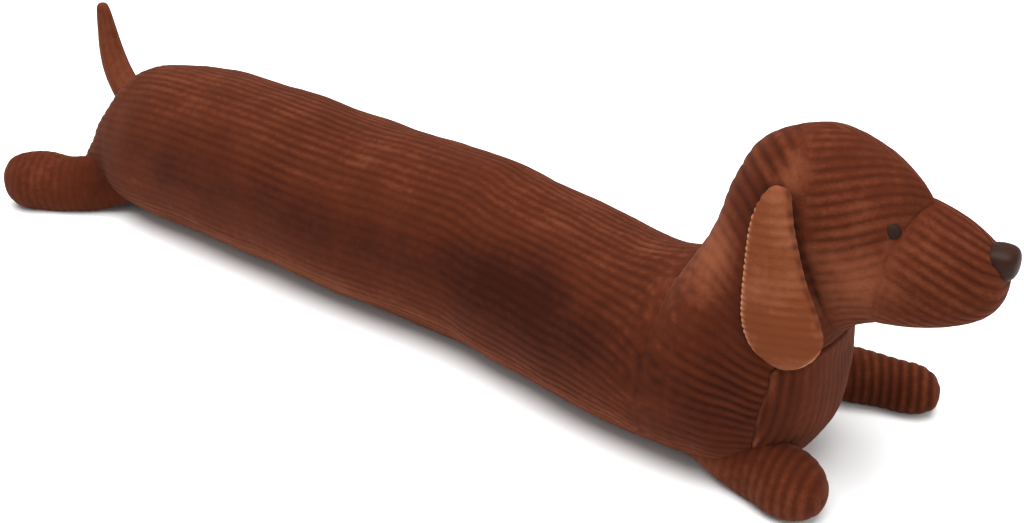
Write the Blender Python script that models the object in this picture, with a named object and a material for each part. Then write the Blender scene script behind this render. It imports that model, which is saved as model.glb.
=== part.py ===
"""A long corduroy dachshund that lies along the foot of a door and keeps the draught out.

Lengths are in millimetres until they become points, which are in metres. The dog is drawn straight
and even-sided: x runs from the rump to the nose, y to the dog's left and z up from the floor. Lying
down, the filled body takes slow bends, and all points go through lie() for these.
"""
import math

import bmesh
import bpy
from mathutils import Vector

MM = 0.001
GAP = 0.3  # between sewn pieces, which a seam would close
WALE = 7.0  # one cord rib and its valley
RIB = 1.3  # height of a rib over its valley
SINK = 5.0  # how far a filled form settles, which gives it a flat base

BODY_WALES = 62
HEAD_WALES = 50
MUZZLE_WALES = 34
SEAM_X = 634  # plane of the seam between the body tube and the shoulders
MIDDLE = (399.4, 10.1)  # middle of the lying dog's outline on the floor, which becomes the origin

# Where the tube bends as it lies: from, to, turn to the left in degrees.
BENDS = (
    (60, 360, 2.0),
    (460, 550, -9.0),
    (585, 660, 19.5),
)

# Rings of the body: x, top, bottom, half width, egg
BODY_RINGS = (
    (5, 60, 16, 20, 0.1),
    (10, 78, 6, 36, 0.2),
    (20, 95, -1, 49, 0.22),
    (38, 110, -4, 59, 0.18),
    (62, 121, -SINK, 66, 0.12),
    (104, 129, -SINK, 71, 0.05),
    (165, 135, -SINK, 74, 0.0),
    (250, 136, -SINK, 75, 0.0),
    (330, 133, -SINK, 74, 0.0),
    (410, 134, -SINK, 72, 0.0),
    (455, 133, -SINK, 71, 0.0),
    (500, 130, -SINK, 70, 0.0),
    (560, 125, -SINK, 70, 0.0),
    (605, 123, -SINK, 70, 0.0),
    (SEAM_X, 128, -SINK, 70, 0.0),
)

# Rings that turn up from the tube into the neck: top x, top z, bottom x, bottom z, half width, egg,
# and how far the sides are set back
SHOULDER_RINGS = (
    (SEAM_X, 128, SEAM_X, -SINK, 70, 0.0, 0),
    (641, 142, 658, -SINK, 70, 0.04, 0),
    (649, 161, 683, -SINK, 69, 0.10, 0),
    (655, 181, 706, 1, 67, 0.16, 0),
    (660, 202, 724, 20, 65, 0.20, 0),
    (667, 219, 733, 44, 62, 0.20, 0),
    (677, 230, 738, 68, 58, 0.15, 0),
    (689, 236, 738, 90, 52, 0.07, 0),
    (701, 239, 738, 110, 47, 0.0, 0),
)

# Rings of the head from the neck seam to the muzzle seam, as above
HEAD_RINGS = (
    (701, 239, 738, 110, 47, 0.0, 0),
    (715, 241, 744, 115, 47, 0.0, 0),
    (730, 240, 748, 118, 46, 0.0, 1),
    (745, 235, 752, 120, 45, 0.0, 3),
    (759, 226, 756, 122, 44, 0.02, 5),
    (772, 215, 759, 123, 42, 0.05, 8),
    (782, 204, 762, 124, 40, 0.08, 10),
)

MUZZLE_RINGS = (
    (782, 204, 762, 124, 40, 0.08, 10),
    (793, 203, 780, 126, 37, 0.08, 6),
    (805, 197, 797, 130, 33, 0.06, 3),
    (816, 188, 812, 137, 28, 0.03, 1),
    (823, 181, 822, 145, 22, 0.0, 0),
    (827, 174, 828, 154, 15, 0.0, 0),
)
MUZZLE_TIP = (830, 0, 164)

# Side outline of the chest panel, from the throat back and down to the belly
CHEST_SEAM = (
    (738, 111),
    (722, 103),
    (710, 86),
    (703, 55),
    (697, 20),
    (694, -10),
)

# Rings of a leg: distance along it, half width, top, bottom
FRONT_LEG_RINGS = (
    (0, 10, 34, 12),
    (30, 17, 38, 3),
    (60, 22, 41, -4),
    (84, 23, 43, -4),
)
HIND_LEG_RINGS = (
    (0, 6, 38, 12),
    (25, 14, 42, 1),
    (50, 22, 46, -4),
    (95, 27, 50, -4),
)
LEG_END = 22  # length of the rounded end
LEG_SIDES = 14

# Legs: root x and y, heading in degrees from straight ahead to the left, turn to the left along the
# leg, plumpness, length scale, ring table
LEGS = (
    ("front_paw_right", 648, -30, -21, 0, 1.0, 1.0, FRONT_LEG_RINGS),
    ("front_paw_left", 654, 50, 42, -40, 0.9, 1.43, FRONT_LEG_RINGS),
    ("hind_paw_right", 75, -46, 180 + 28, 0, 1.0, 1.0, HIND_LEG_RINGS),
    ("hind_paw_left", 75, 46, 180 - 28, 0, 1.0, 1.0, HIND_LEG_RINGS),
)

# Tail: middle x and z, radius
TAIL_RINGS = (
    (24, 80, 13),
    (12, 94, 12),
    (4, 108, 11),
    (-1, 124, 10),
    (-3, 141, 8),
    (-5, 156, 5.5),
)
TAIL_TIP = (-6, 165)
TAIL_SIDES = 12

# Rows of an ear: z, rear edge x, front edge x, distance out from the middle of the head
EAR_ROWS = (
    (217, 695, 711, 39),
    (212, 690, 713, 42),
    (200, 689, 718, 48),
    (184, 688, 727, 54.5),
    (167, 687, 733, 60),
    (151, 687, 738, 64),
    (135, 688.5, 739.5, 67),
    (123, 692, 735, 68.5),
    (115, 695.5, 730, 69),
    (109, 703, 724, 69),
)
EAR_TIP = (713.5, 106, 69)
EAR_THICK = 6.0
EAR_SIDES = 14

# Pads: centre, half width, half thickness, half height
NOSE = ((826, 0, 179), 13.5, 10.5, 11)
EYE = ((765.4, 29.6, 197.3), 4.4, 2.4, 4.4)
EYE_FACING = (0.4, 0.9, 0.15)
PAD_SIDES = 16

CUTTER_HALF = 120  # reach of a cutter to each side

BROWN = (0.105, 0.028, 0.013)
EAR_BROWN = (0.17, 0.052, 0.022)
NOSE_BROWN = (0.02, 0.011, 0.009)
EYE_GREY = (0.03, 0.016, 0.012)


def clear_scene():
    for obj in list(bpy.data.objects):
        bpy.data.objects.remove(obj, do_unlink=True)


def material(name, colour, roughness):
    mat = bpy.data.materials.new(name)
    mat.use_nodes = True
    shader = mat.node_tree.nodes["Principled BSDF"]
    shader.inputs["Base Color"].default_value = (*colour, 1)
    shader.inputs["Roughness"].default_value = roughness
    shader.inputs["Metallic"].default_value = 0
    mat.diffuse_color = (*colour, 1)
    return mat


def lie(point):
    """The place of a point of the straight dog once the body has taken its bends."""
    x, y, z = point
    at_x, at_y, heading, done = 0.0, 0.0, 0.0, 0.0
    for start, end, turn in BENDS:
        if x <= start:
            break
        at_x += (start - done) * math.cos(heading)
        at_y += (start - done) * math.sin(heading)
        part = min(x, end) - start
        angle = math.radians(turn) * part / (end - start)
        radius = part / angle
        at_x += radius * (math.sin(heading + angle) - math.sin(heading))
        at_y += radius * (math.cos(heading) - math.cos(heading + angle))
        heading += angle
        done = start + part
    rest = x - done
    at_x += rest * math.cos(heading) - y * math.sin(heading)
    at_y += rest * math.sin(heading) + y * math.cos(heading)
    return Vector((at_x - MIDDLE[0], at_y - MIDDLE[1], z)) * MM


def ring(top, bottom, half_width, egg, back, count, rib):
    """Evenly spaced points round an oval between two points of the side outline.

    Every other point is raised as a rib, and points under the floor are brought up to it.
    """
    middle = (top + bottom) / 2
    reach = (top - bottom) / 2

    def oval(angle):
        rise = math.cos(angle)
        out = math.sin(angle) * half_width * (1 - egg * rise)
        aside = abs(math.sin(angle)) * (1 + rise / 2)
        return middle + reach * rise + Vector((-back * aside, out, 0))

    steps = 8 * count
    fine = [oval(2 * math.pi * i / steps) for i in range(steps)]
    lengths = [0.0]
    for i in range(steps):
        lengths.append(lengths[-1] + (fine[(i + 1) % steps] - fine[i]).length)
    points = []
    i = 0
    for k in range(count):
        wanted = lengths[-1] * k / count
        while lengths[i + 1] < wanted:
            i += 1
        share = (wanted - lengths[i]) / (lengths[i + 1] - lengths[i])
        point = fine[i].lerp(fine[(i + 1) % steps], share)
        outward = (point - middle).normalized()
        point += outward * (rib if k % 2 == 0 else 0)
        point.z = max(point.z, 0)
        points.append(point)
    return points


def loft(name, rings, mat, start=None, end=None):
    """A closed form through rings of points; each end closes on its own middle or on the point given."""
    mesh = bpy.data.meshes.new(name)
    bm = bmesh.new()
    rows = [[bm.verts.new(lie(p)) for p in points] for points in rings]
    for first, second in zip(rows, rows[1:]):
        for k, vert in enumerate(first):
            after = (k + 1) % len(first)
            bm.faces.new((vert, first[after], second[after], second[k]))
    for row, points, tip in ((rows[0], rings[0], start), (rows[-1], rings[-1], end)):
        middle = tip or sum(points, Vector()) / len(points)
        pole = bm.verts.new(lie(middle))
        for k, vert in enumerate(row):
            bm.faces.new((pole, row[(k + 1) % len(row)], vert))
    bmesh.ops.recalc_face_normals(bm, faces=bm.faces)
    bm.to_mesh(mesh)
    bm.free()
    mesh.materials.append(mat)
    mesh.shade_smooth()
    obj = bpy.data.objects.new(name, mesh)
    bpy.context.scene.collection.objects.link(obj)
    return obj


def shifted(row, along):
    """A ring row moved along the dog, for the gap at a seam."""
    top_x, top_z, bottom_x, bottom_z, *rest = row
    return (top_x + along, top_z, bottom_x + along, bottom_z, *rest)


def row_points(row, wales, rib, grow=0.0):
    top_x, top_z, bottom_x, bottom_z, half_width, egg, back = row
    top = Vector((top_x, 0, top_z))
    bottom = Vector((bottom_x, 0, bottom_z))
    out = (top - bottom).normalized() * grow
    return ring(top + out, bottom - out, half_width + grow, egg, back, 2 * wales, rib)


def body(mat, name="body", rib=RIB, grow=0.0):
    rows = [(x, top, x, bottom, half, egg, 0) for x, top, bottom, half, egg in BODY_RINGS]
    rings = [row_points(row, BODY_WALES, rib * min(1, i / 3), grow) for i, row in enumerate(rows)]
    return loft(name, rings, mat, start=Vector((3 - grow, 0, 38)))


def fanned(name, mat, rows, wales, rib=RIB, grow=0.0, end=None):
    rows = (shifted(rows[0], GAP),) + rows[1:]
    return loft(name, [row_points(row, wales, rib, grow) for row in rows], mat, end=end)


def prism(name, outline, half_width):
    """A cutter: a side outline drawn out to both sides."""
    mesh = bpy.data.meshes.new(name)
    bm = bmesh.new()
    left = [bm.verts.new(lie((x, half_width, z))) for x, z in outline]
    right = [bm.verts.new(lie((x, -half_width, z))) for x, z in outline]
    bm.faces.new(left)
    bm.faces.new(right[::-1])
    for k in range(len(outline)):
        after = (k + 1) % len(outline)
        bm.faces.new((left[k], right[k], right[after], left[after]))
    bmesh.ops.recalc_face_normals(bm, faces=bm.faces)
    bm.to_mesh(mesh)
    bm.free()
    obj = bpy.data.objects.new(name, mesh)
    bpy.context.scene.collection.objects.link(obj)
    return helper(obj)


def helper(obj):
    obj.hide_render = True
    obj.display_type = "WIRE"
    return obj


def cut(obj, cutter, operation="DIFFERENCE"):
    modifier = obj.modifiers.new(operation.lower() + "_" + cutter.name, "BOOLEAN")
    modifier.operation = operation
    modifier.object = cutter


def chest_outline(back):
    """The chest panel's side outline, its seam moved back by half a gap or forward by it."""
    seam = [(x + back, z) for x, z in CHEST_SEAM]
    return seam + [(780, -10), (780, 107)]


def leg(name, root_x, root_y, heading, turn, plump, scale, table, mat, body_form):
    """A stub leg that lies on the floor, ribbed across, its root shaped to the body."""
    length = table[-1][0] * scale

    def size(along):
        for (a, *low), (b, *high) in zip(table, table[1:]):
            if along <= b:
                break
        share = min(1, (along - a) / (b - a))
        return [plump * (p + (q - p) * share) for p, q in zip(low, high)]

    stations = [(WALE / 2 * k, 1.0) for k in range(int(2 * length / WALE) + 1)]
    turns = 4
    for k in range(1, turns):
        angle = math.pi / 2 * k / turns
        stations.append((length + LEG_END * math.sin(angle), math.cos(angle) ** 0.8))
    stations.append((length + LEG_END, 0.0))
    rings = []
    centre = Vector((root_x, root_y, 0))
    reached = 0.0
    for k, (along, share) in enumerate(stations):
        angle = math.radians(heading + turn * min(along / length, 1))
        ahead = Vector((math.cos(angle), math.sin(angle), 0))
        side = Vector((-ahead.y, ahead.x, 0))
        centre = centre + ahead * (along - reached)
        reached = along
        half, top, bottom = size(min(along, length) / scale)
        middle = (top + bottom) / 2
        if share == 0:
            break
        rise = (top - bottom) / 2 * share
        half *= share
        rib = RIB / 2 * (1 if k % 2 == 0 else -1)
        points = []
        for n in range(LEG_SIDES):
            angle = 2 * math.pi * n / LEG_SIDES
            out = side * math.sin(angle) * (half + rib)
            up = middle + math.cos(angle) * (rise + rib)
            points.append(centre + out + Vector((0, 0, max(up, 0))))
        rings.append(points)
    obj = loft(name, rings, mat, end=centre + Vector((0, 0, middle)))
    cut(obj, body_form)
    return obj


def tail(mat, body_form):
    rings = []
    for k, (x, z, radius) in enumerate(TAIL_RINGS):
        before = TAIL_RINGS[max(k - 1, 0)]
        after = (TAIL_RINGS + ((*TAIL_TIP, 0),))[k + 1]
        along = Vector((after[0] - before[0], 0, after[1] - before[1])).normalized()
        side = Vector((0, 1, 0))
        out = along.cross(side)
        rings.append([
            Vector((x, 0, z)) + (out * math.cos(a) + side * math.sin(a)) * radius
            for a in (2 * math.pi * n / TAIL_SIDES for n in range(TAIL_SIDES))
        ])
    obj = loft("tail", rings, mat, end=Vector((TAIL_TIP[0], 0, TAIL_TIP[1])))
    cut(obj, body_form)
    return obj


def ear(name, side, mat, forms):
    """A flap that hangs down the side of the head, ribbed across; side is 1 for left and -1 for right."""
    rings = []
    count = int((EAR_ROWS[0][0] - EAR_ROWS[-1][0]) / (WALE / 2))
    for k in range(count + 1):
        z = EAR_ROWS[0][0] - WALE / 2 * k
        for (high, *upper), (low, *lower) in zip(EAR_ROWS, EAR_ROWS[1:]):
            if z >= low:
                break
        share = min(1, (high - z) / (high - low))
        rear, front, out = [p + (q - p) * share for p, q in zip(upper, lower)]
        rib = RIB / 2 * (1 if k % 2 == 0 else -1)
        points = []
        for n in range(EAR_SIDES):
            angle = 2 * math.pi * n / EAR_SIDES
            across = math.cos(angle) * ((front - rear) / 2 + rib / 2)
            lift = math.sin(angle) * (EAR_THICK + rib) / 2
            points.append(Vector(((front + rear) / 2 + across, side * (out + lift), z)))
        rings.append(points)
    tip_x, tip_z, tip_out = EAR_TIP
    obj = loft(name, rings, mat, end=Vector((tip_x, side * tip_out, tip_z)))
    for form in forms:
        cut(obj, form)
    return obj


def pad(name, size, facing, side, mat, form):
    """A small rounded pad seated on a form; side is 1 for left and -1 for right."""
    centre, half_width, half_thick, half_height = size
    ahead = Vector((facing[0], side * facing[1], facing[2])).normalized()
    turn = ahead.to_track_quat("Y", "Z")
    place = Vector((centre[0], side * centre[1], centre[2]))
    mesh = bpy.data.meshes.new(name)
    bm = bmesh.new()
    bmesh.ops.create_uvsphere(bm, u_segments=PAD_SIDES, v_segments=PAD_SIDES // 2, radius=1)
    for vert in bm.verts:
        x, y, z = vert.co
        vert.co = lie(place + turn @ Vector((x * half_width, y * half_thick, z * half_height)))
    bmesh.ops.recalc_face_normals(bm, faces=bm.faces)
    bm.to_mesh(mesh)
    bm.free()
    mesh.materials.append(mat)
    mesh.shade_smooth()
    obj = bpy.data.objects.new(name, mesh)
    bpy.context.scene.collection.objects.link(obj)
    cut(obj, form)
    return obj


def main():
    clear_scene()
    cord = material("brown_cord", BROWN, 0.9)
    ear_cord = material("ear_cord", EAR_BROWN, 0.9)
    nose_skin = material("nose", NOSE_BROWN, 0.5)
    eye_button = material("eye", EYE_GREY, 0.35)

    body(cord)
    shoulders = fanned("shoulders", cord, SHOULDER_RINGS, BODY_WALES)
    chest = fanned("chest", cord, SHOULDER_RINGS, BODY_WALES)
    cut(shoulders, prism("chest_cutter", chest_outline(0), CUTTER_HALF))
    cut(chest, prism("chest_keeper", chest_outline(GAP), CUTTER_HALF), "INTERSECT")
    fanned("head", cord, HEAD_RINGS, HEAD_WALES)
    fanned("muzzle", cord, MUZZLE_RINGS, MUZZLE_WALES, end=Vector(MUZZLE_TIP))

    # Plain forms a gap larger than the pieces, which shape what is sewn on to them.
    room = RIB + GAP
    body_form = helper(body(cord, "body_form", rib=0, grow=room))
    front_form = helper(fanned("front_form", cord, SHOULDER_RINGS, BODY_WALES, rib=0, grow=room))
    head_form = helper(fanned("head_form", cord, HEAD_RINGS, HEAD_WALES, rib=0, grow=room))
    muzzle_form = helper(
        fanned("muzzle_form", cord, MUZZLE_RINGS, MUZZLE_WALES, rib=0, grow=room, end=Vector(MUZZLE_TIP))
    )

    for name, *numbers in LEGS:
        form = front_form if name.startswith("front") else body_form
        leg(name, *numbers, cord, form)
    tail(cord, body_form)
    for name, side in (("right", -1), ("left", 1)):
        ear("ear_" + name, side, ear_cord, (front_form, head_form))
        pad("eye_" + name, EYE, EYE_FACING, side, eye_button, head_form)
    pad("nose", NOSE, (1, 0, 0), 1, nose_skin, muzzle_form)


main()
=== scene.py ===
import math

import bmesh
import bpy
import numpy as np
from mathutils import Matrix, Vector, noise
from mathutils.bvhtree import BVHTree


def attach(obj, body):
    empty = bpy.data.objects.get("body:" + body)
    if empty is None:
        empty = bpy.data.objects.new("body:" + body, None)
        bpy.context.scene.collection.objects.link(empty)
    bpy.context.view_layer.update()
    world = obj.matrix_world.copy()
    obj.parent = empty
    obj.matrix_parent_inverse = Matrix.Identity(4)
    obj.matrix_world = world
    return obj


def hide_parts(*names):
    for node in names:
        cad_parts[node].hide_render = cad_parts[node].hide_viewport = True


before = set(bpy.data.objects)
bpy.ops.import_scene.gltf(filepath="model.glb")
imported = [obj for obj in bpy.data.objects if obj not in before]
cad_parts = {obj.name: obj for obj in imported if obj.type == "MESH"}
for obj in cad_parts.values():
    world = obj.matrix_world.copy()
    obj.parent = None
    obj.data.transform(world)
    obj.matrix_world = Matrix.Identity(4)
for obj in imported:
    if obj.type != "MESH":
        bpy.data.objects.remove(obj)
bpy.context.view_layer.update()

# Sizes are in millimetres. The dog is drawn laid out straight, its rump at zero and its nose along x,
# and is then laid in its bends.
MM = 0.001
WALE = 7.0  # from the middle of one rib of the cord to the next
PILE = 1.0  # a rib's height over the valley beside it
GIVE_IN, GIVE_OUT = 0.4, 1.8  # how far the cloth may sink or bulge from its outline with the stuffing
EASE = 0.8  # how far the cloth lies outside the outline, for its own thickness
FLOOR = 0.2  # how close the cloth lies to the floor
COARSE = 6.0  # spacing of the points that follow the filled form
FINE = 1.15  # spacing of the points that carry the ribs
FACE_FINE = 1.05  # the same on the head and muzzle
LENGTHWISE = 7.0  # spacing along the straight tube, where the ribs only run lengthwise

# Bends in plan: where each starts and ends, and how many degrees it turns. MIDDLE is the middle of
# the part's own box in plan.
BENDS = ((60, 360, 2.0), (460, 550, -9.0), (585, 660, 19.5))
MIDDLE = (399.4, 10.1)

# Outline rows: top x and z, bottom x and z, half width, egg shape, how far the sides are set back.
SEAM_X = 634  # where the body is sewn to the shoulders
RUMP = (
    (3, 38, 3, 38, 0, 0.0, 0),
    (12, 60, -6, 14, 24, 0.45, 0),
    (20, 78, -6, 5, 40, 0.55, 0),
    (31, 95, 5, -1, 51, 0.52, 0),
    (45, 110, 25, -4, 60, 0.36, 0),
    (62, 121, 62, -5, 66.5, 0.16, 0),
)
TUBE = (
    RUMP[-1],
    (104, 129, 104, -5, 75.5, 0.05, 0),
    (165, 134.5, 165, -5, 75.5, 0, 0),
    (250, 135.5, 250, -5, 74.8, 0, 0),
    (330, 135, 330, -5, 74.8, 0, 0),
    (410, 138.5, 410, -5, 69.5, 0, 0),
    (455, 136.5, 455, -5, 69, 0, 0),
    (500, 126, 500, -5, 73, 0, 0),
    (568, 122.5, 568, -5, 73, 0, 0),
)
TUBE_END = (
    TUBE[-1],
    (605, 127.5, 605, -5, 71.8, 0, 0),
    (SEAM_X, 135, SEAM_X, -5, 73.8, 0, 0),
)
SHOULDERS = (
    TUBE_END[-1],
    (640, 146, 659, -5, 75.6, 0.04, 0),
    (646.5, 161, 685, -5, 76, 0.10, 0),
    (653, 181, 707, 2, 68.5, 0.16, 0),
    (659, 202, 725.5, 21, 66, 0.20, 0),
    (667, 219, 737.5, 44, 62, 0.20, 0),
    (677, 230, 740, 68, 57.5, 0.15, 0),
    (689, 237.5, 738, 90, 51.5, 0.07, 0),
    (701, 242, 738, 110, 47, 0.0, 0),
)
HEAD = (
    SHOULDERS[-1],
    (715, 243, 744, 115, 47, 0.0, 0),
    (730, 240, 748, 118, 46, 0.0, 1),
    (745, 234.5, 752, 120, 45, 0.0, 3),
    (759, 227.8, 756, 122, 44, 0.02, 5),
    (772, 219, 759, 123, 42, 0.05, 8),
    (782, 208, 762, 124, 40, 0.08, 10),
)
MUZZLE = (
    HEAD[-1],
    (793, 203, 780, 126, 37, 0.08, 6),
    (805, 197, 797, 130, 33, 0.06, 3),
    (816, 189, 813, 137, 28, 0.03, 1),
    (823, 182, 824, 145, 23, 0.0, 0),
    (828, 175, 830, 155, 16, 0.0, 0),
    (831, 165, 831, 165, 0, 0.0, 0),
)
# The seam between the chest panel and the shoulders, as x and z on the side, from the top down.
CHEST_SEAM = (
    (738, 111), (724, 109.5), (712, 107), (709, 103), (708.5, 92),
    (704, 70), (701, 45), (698, 20), (694, -10),
)
# The tail's middle line, x and z, and its radius.
TAIL = (
    (22, 80, 13),
    (10.6, 94, 12.5),
    (2.8, 108, 11.7),
    (-1.5, 124, 10.2),
    (-3.6, 141, 8.2),
    (-5, 155, 6.5),
    (-5.8, 162, 5.2),
    (-6.1, 165, 3.6),
    (-6.2, 166.5, 0),
)
# The ear's height, rear edge, front edge and distance from the middle of the head.
EAR = (
    (215, 694.5, 702.5, 36),
    (213.4, 691.2, 704, 38),
    (210.5, 688.8, 705.8, 41),
    (207, 687.3, 707.3, 44),
    (203, 686, 708.8, 46),
    (197, 685, 711.2, 49.5),
    (188, 684.8, 715.2, 53),
    (178, 685.4, 719.8, 56.5),
    (166, 686.2, 725.6, 60),
    (155, 687, 732.3, 63),
    (143, 688.2, 738.4, 65.5),
    (135, 690, 741, 67),
    (127, 693, 739.7, 68),
    (120, 697.8, 735.6, 68.8),
    (115.5, 703.5, 731, 69),
    (112.5, 711, 726, 69),
    (111.2, 718, 720, 69),
)
# A paw's outline: distance from its root, half width, top and bottom.
FRONT_PAW = ((0, 17.5, 30, 8), (28, 19.5, 34, 2), (60, 21.4, 40, -4), (83.5, 22.5, 43, -4))
FAR_PAW = ((0, 10, 34, 12), (30, 17, 40, 3), (60, 22, 42, -4), (84, 22, 35, -4))
HIND_PAW = (
    (0, 9, 44, 12), (34, 18, 50, 2), (43, 20, 49.5, -1),
    (51, 21, 49, -3), (60, 22, 48.5, -4), (95, 27, 49, -4),
)
# Each paw's node, root x and y, heading and turn in degrees, plumpness, stretch, outline, length of
# the toe, slant of the ribs in degrees and their strength.
PAWS = (
    ("front_paw_right", 648, -30, -20, 0, 1.0, 1.0, FRONT_PAW, 27.5, 10, 0.36),
    ("front_paw_left", 654, 50, 42, -40, 0.9, 1.43, FAR_PAW, 25, 14, 0.62),
    ("hind_paw_right", 75, -46, 208, 0, 1.0, 1.0, HIND_PAW, 28, 0, 0.2),
    ("hind_paw_left", 75, 46, 152, 0, 1.0, 1.0, HIND_PAW, 28, 0, 0.2),
)
NOSE = ((825, 0, 178.4), (10.4, 12.8, 9.4))  # middle, and half its depth, width and height
EYE = ((765.4, 29.6, 197.3), 4.6)  # middle and radius

# ---- camera, light and floor

VIEW_AZIMUTH = 40.0
VIEW_ELEVATION = 29.0
LOOK_AT = Vector((0.0738, -0.0101, 0.0718))
CAMERA_DISTANCE = 1.1003


def way(azimuth, elevation):
    """Unit vector from the object towards a place seen at these angles, in degrees."""
    a, e = math.radians(azimuth), math.radians(elevation)
    return Vector((math.sin(a) * math.cos(e), -math.cos(a) * math.cos(e), math.sin(e)))


def aimed(obj, place, target):
    obj.location = place
    obj.rotation_euler = (Vector(target) - Vector(place)).to_track_quat("-Z", "Y").to_euler()


def make_camera():
    camera = bpy.data.objects.new("camera", bpy.data.cameras.new("camera"))
    bpy.context.scene.collection.objects.link(camera)
    camera.data.lens = 52
    camera.data.sensor_width = 36
    camera.data.sensor_fit = "HORIZONTAL"
    camera.data.clip_start = 0.01
    aimed(camera, LOOK_AT + way(VIEW_AZIMUTH, VIEW_ELEVATION) * CAMERA_DISTANCE, LOOK_AT)
    bpy.context.scene.camera = camera


def soft_light(name, azimuth, elevation, distance, size, power):
    light = bpy.data.objects.new(name, bpy.data.lights.new(name, "AREA"))
    bpy.context.scene.collection.objects.link(light)
    light.data.shape = "DISK"
    light.data.size = size
    light.data.energy = power
    aimed(light, way(azimuth, elevation) * distance, (0, 0, 0.08))


def make_studio():
    world = bpy.data.worlds.new("studio")
    world.use_nodes = True
    sky = world.node_tree.nodes["Background"]
    sky.inputs["Color"].default_value = (1, 1, 1, 1)
    sky.inputs["Strength"].default_value = 0.58
    bpy.context.scene.world = world
    bpy.context.scene.view_settings.view_transform = "Standard"
    soft_light("over_the_back", 20, 82, 2.6, 3.0, 145)
    soft_light("from_the_nose", 85, 30, 2.4, 1.2, 9)
    bpy.ops.object.select_all(action="DESELECT")
    bpy.ops.mesh.primitive_plane_add(size=14, location=(0, 0, 0))
    floor = bpy.context.active_object
    floor.name = "floor"
    paint = Bench("floor_paint")
    paint.finish({"Base Color": (0.93, 0.93, 0.93, 1), "Roughness": 0.9, "Specular IOR Level": 0.1})
    floor.data.materials.append(paint.material)


# ---- materials

MIX_SHARE, MIX_FIRST, MIX_SECOND, MIX_COLOUR = 0, 6, 7, 2  # a Mix node's sockets for colours


class Value:
    """A socket in a material; sums written with it become Math nodes."""

    def __init__(self, bench, socket):
        self.bench, self.socket = bench, socket

    def math(self, operation, *terms, clamp=False):
        settings = {"operation": operation, "use_clamp": clamp}
        return self.bench.node("ShaderNodeMath", settings, dict(enumerate(terms)))

    def __add__(self, other):
        return self.math("ADD", self, other)

    def __sub__(self, other):
        return self.math("SUBTRACT", self, other)

    def __rsub__(self, other):
        return self.math("SUBTRACT", other, self)

    def __mul__(self, other):
        return self.math("MULTIPLY", self, other)

    def __abs__(self):
        return self.math("ABSOLUTE", self)

    def part(self):
        """What is left over a whole number."""
        return self.math("FRACT", self)

    def held(self):
        """The value kept from 0 to 1."""
        return self.math("ADD", self, 0.0, clamp=True)

    __radd__ = __add__
    __rmul__ = __mul__


class Bench:
    """The bench where one material is mixed."""

    def __init__(self, name):
        self.material = bpy.data.materials.new(name)
        self.material.use_nodes = True
        self.tree = self.material.node_tree
        self.tree.nodes.clear()

    def node(self, kind, settings=None, sockets=None, output=0):
        """One node: its settings first, then the values or links of its sockets."""
        made = self.tree.nodes.new(kind)
        for key, value in (settings or {}).items():
            if key == "stops":
                while len(made.color_ramp.elements) < len(value):
                    made.color_ramp.elements.new(0.5)
                for stop, (place, colour) in zip(made.color_ramp.elements, value):
                    stop.position, stop.color = place, colour
            else:
                setattr(made, key, value)
        for key, value in (sockets or {}).items():
            if isinstance(value, Value):
                self.tree.links.new(value.socket, made.inputs[key])
            else:
                made.inputs[key].default_value = value
        return Value(self, made.outputs[output])

    def place(self):
        return self.node("ShaderNodeTexCoord", output="Object")

    def grain(self, size, where, detail, rough=0.5):
        """Noise from 0 to 1 with spots of about the given size in the units of where."""
        return self.node("ShaderNodeTexNoise", sockets={
            "Vector": where, "Scale": 1 / size, "Detail": detail, "Roughness": rough})

    def ease(self, value, low, high):
        """A smooth rise from 0 to 1 between two values."""
        return self.node("ShaderNodeMapRange", {"interpolation_type": "SMOOTHSTEP"}, {
            "Value": value, "From Min": low, "From Max": high})

    def blend(self, share, first, second):
        return self.node("ShaderNodeMix", {"data_type": "RGBA"}, {
            MIX_SHARE: share, MIX_FIRST: first, MIX_SECOND: second}, MIX_COLOUR)

    def finish(self, sockets):
        shader = self.node("ShaderNodeBsdfPrincipled", sockets=sockets)
        out = self.tree.nodes.new("ShaderNodeOutputMaterial")
        self.tree.links.new(shader.socket, out.inputs["Surface"])
        return self.material


def colour(red, green, blue):
    """A display colour, 0 to 255, as the shader's own."""
    shares = (c / 255 for c in (red, green, blue))
    return (*(((c + 0.055) / 1.055) ** 2.4 if c > 0.04045 else c / 12.92 for c in shares), 1)


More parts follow.
